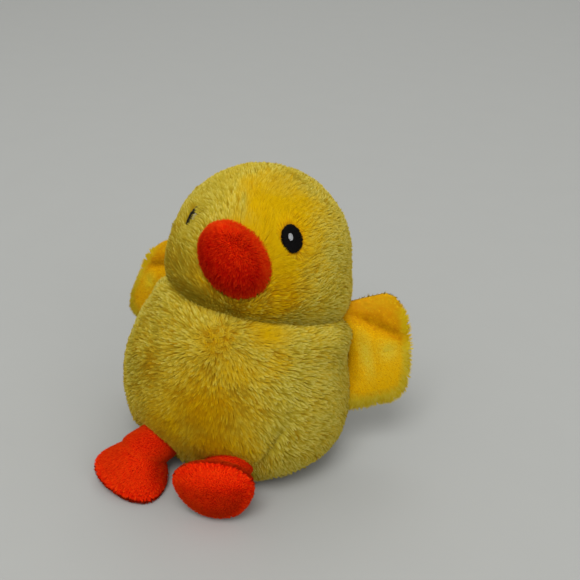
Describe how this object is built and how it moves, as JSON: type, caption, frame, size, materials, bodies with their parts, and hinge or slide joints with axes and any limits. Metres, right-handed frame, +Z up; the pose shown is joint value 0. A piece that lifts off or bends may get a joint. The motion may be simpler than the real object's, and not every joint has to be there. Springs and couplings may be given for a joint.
{
  "type": "plush chick dog toy",
  "caption": "Sitting stuffed chick for a dog to carry and chew, with a round head, domed beak, floppy wings, splayed feet and a squeaker inside.",
  "frame": {"origin": "centre of the flat seat under the body, on the floor", "axes": "+Z up, the belly and legs face -Y, the toy's left side is +X"},
  "size_m": [0.1214, 0.0997, 0.1078],
  "materials": {
    "plush_gold": "golden yellow plush pile",
    "plush_pale": "pale yellow plush pile",
    "satin_gold": "short glossy golden pile",
    "plush_orange": "short orange plush pile",
    "thread_black": "satin stitched black thread",
    "thread_white": "satin stitched pale thread",
    "stuffing": "white polyester fibre",
    "squeaker_plastic": "thin milky plastic"
  },
  "bodies": {
    "body": {"base_panel": "plush_gold", "belly_panel": "plush_gold", "side_panel_left": "plush_pale", "side_panel_right": "plush_pale", "body_stuffing_front": "stuffing", "body_stuffing_back": "stuffing", "squeaker_shell": "squeaker_plastic", "squeaker_reed": "squeaker_plastic"},
    "squeaker": {"squeaker_bulb": "squeaker_plastic"},
    "neck": {"neck_stuffing": "stuffing"},
    "head": {"face_panel_left": "plush_gold", "face_panel_right": "plush_gold", "head_back_panel_left": "plush_pale", "head_back_panel_right": "plush_pale", "head_stuffing": "stuffing", "beak_cover": "plush_orange", "beak_stuffing": "stuffing", "eye_left": "thread_black", "eye_right": "thread_black", "eye_glint_left": "thread_white", "eye_glint_right": "thread_white"},
    "wing_left": {"wing_front_left": "satin_gold", "wing_back_left": "plush_pale", "wing_wadding_left": "stuffing"},
    "wing_right": {"wing_front_right": "satin_gold", "wing_back_right": "plush_pale", "wing_wadding_right": "stuffing"},
    "leg_left": {"leg_cover_left": "plush_orange", "leg_stuffing_left": "stuffing"},
    "leg_right": {"leg_cover_right": "plush_orange", "leg_stuffing_right": "stuffing"},
    "foot_left": {"foot_upper_left": "plush_orange", "foot_sole_left": "plush_orange", "foot_stuffing_left": "stuffing"},
    "foot_right": {"foot_upper_right": "plush_orange", "foot_sole_right": "plush_orange", "foot_stuffing_right": "stuffing"}
  },
  "joints": [
    {"name": "squeaker_press", "type": "slide", "parent": "body", "child": "squeaker", "axis": [0, 0, -1], "range_m": [0, 0.006], "stiffness_N_per_m": 300},
    {"name": "neck_nod", "type": "hinge", "parent": "body", "child": "neck", "pos_m": [0.00291, 0.01346, 0.07465], "axis": [0.9868, 0.123, -0.1056], "range_deg": [-12, 12], "stiffness_Nm_per_rad": 0.15},
    {"name": "head_turn", "type": "hinge", "parent": "neck", "child": "head", "pos_m": [0.00291, 0.01346, 0.07465], "axis": [0.0646, 0.2988, 0.9521], "range_deg": [-20, 20], "stiffness_Nm_per_rad": 0.1},
    {"name": "wing_left_flap", "type": "hinge", "parent": "body", "child": "wing_left", "pos_m": [0.03854, 0.01804, 0.03976], "axis": [-0.2794, 0.0864, 0.9563], "range_deg": [-35, 35], "stiffness_Nm_per_rad": 0.02},
    {"name": "wing_right_flap", "type": "hinge", "parent": "body", "child": "wing_right", "pos_m": [-0.0366, 0.01841, 0.0432], "axis": [-0.3444, -0.0933, -0.9342], "range_deg": [-30, 40], "stiffness_Nm_per_rad": 0.02},
    {"name": "leg_left_swing", "type": "hinge", "parent": "body", "child": "leg_left", "pos_m": [0.01507, -0.02938, 0.01208], "axis": [-0.9703, 0.2419, 0], "range_deg": [-15, 2], "stiffness_Nm_per_rad": 0.02},
    {"name": "leg_right_swing", "type": "hinge", "parent": "body", "child": "leg_right", "pos_m": [-0.01493, -0.02936, 0.01238], "axis": [-0.8988, 0.4384, 0], "range_deg": [-12, 8], "stiffness_Nm_per_rad": 0.02},
    {"name": "foot_left_ankle", "type": "hinge", "parent": "leg_left", "child": "foot_left", "pos_m": [0.0135, -0.03567, 0.0074], "axis": [-0.9587, -0.2569, -0.1219], "range_deg": [-60, 0], "stiffness_Nm_per_rad": 0.01},
    {"name": "foot_right_ankle", "type": "hinge", "parent": "leg_right", "child": "foot_right", "pos_m": [-0.01822, -0.0361, 0.0096], "axis": [-1, 0, 0], "range_deg": [-3, 55], "stiffness_Nm_per_rad": 0.01}
  ]
}
